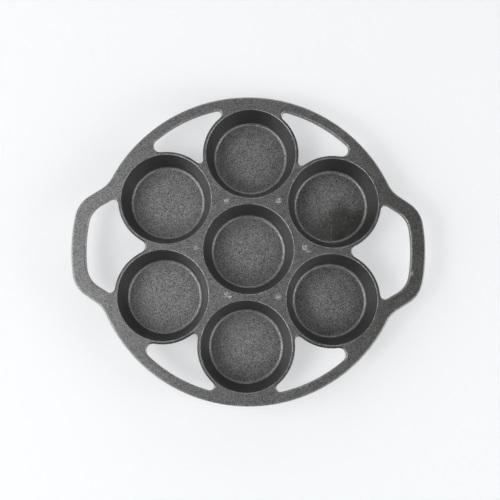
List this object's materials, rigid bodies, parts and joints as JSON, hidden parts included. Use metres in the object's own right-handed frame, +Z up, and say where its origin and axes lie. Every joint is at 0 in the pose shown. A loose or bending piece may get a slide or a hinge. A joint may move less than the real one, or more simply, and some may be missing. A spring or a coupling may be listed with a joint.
{
  "type": "aebleskiver pan",
  "caption": "Round cast iron stovetop pan with a centre cup in a ring of tapered, flat-floored cups, open windows in its rim and a looped handle on each side",
  "frame": {"origin": "middle of the underside of the centre cup, on the surface that the pan stands on", "axes": "+X along the two handles, +Y towards the back cup, +Z up"},
  "size_m": [0.2834, 0.249, 0.025],
  "materials": {
    "cast_iron": "matt sand-cast grain, seasoned, smoother and darker on the walls of the cups"
  },
  "bodies": {
    "root": {"centre_cup": "cast_iron", "back_right_cup": "cast_iron", "back_cup": "cast_iron", "back_left_cup": "cast_iron", "front_left_cup": "cast_iron", "front_cup": "cast_iron", "front_right_cup": "cast_iron", "back_rim": "cast_iron", "front_rim": "cast_iron", "left_handle": "cast_iron", "right_handle": "cast_iron"}
  },
  "joints": []
}
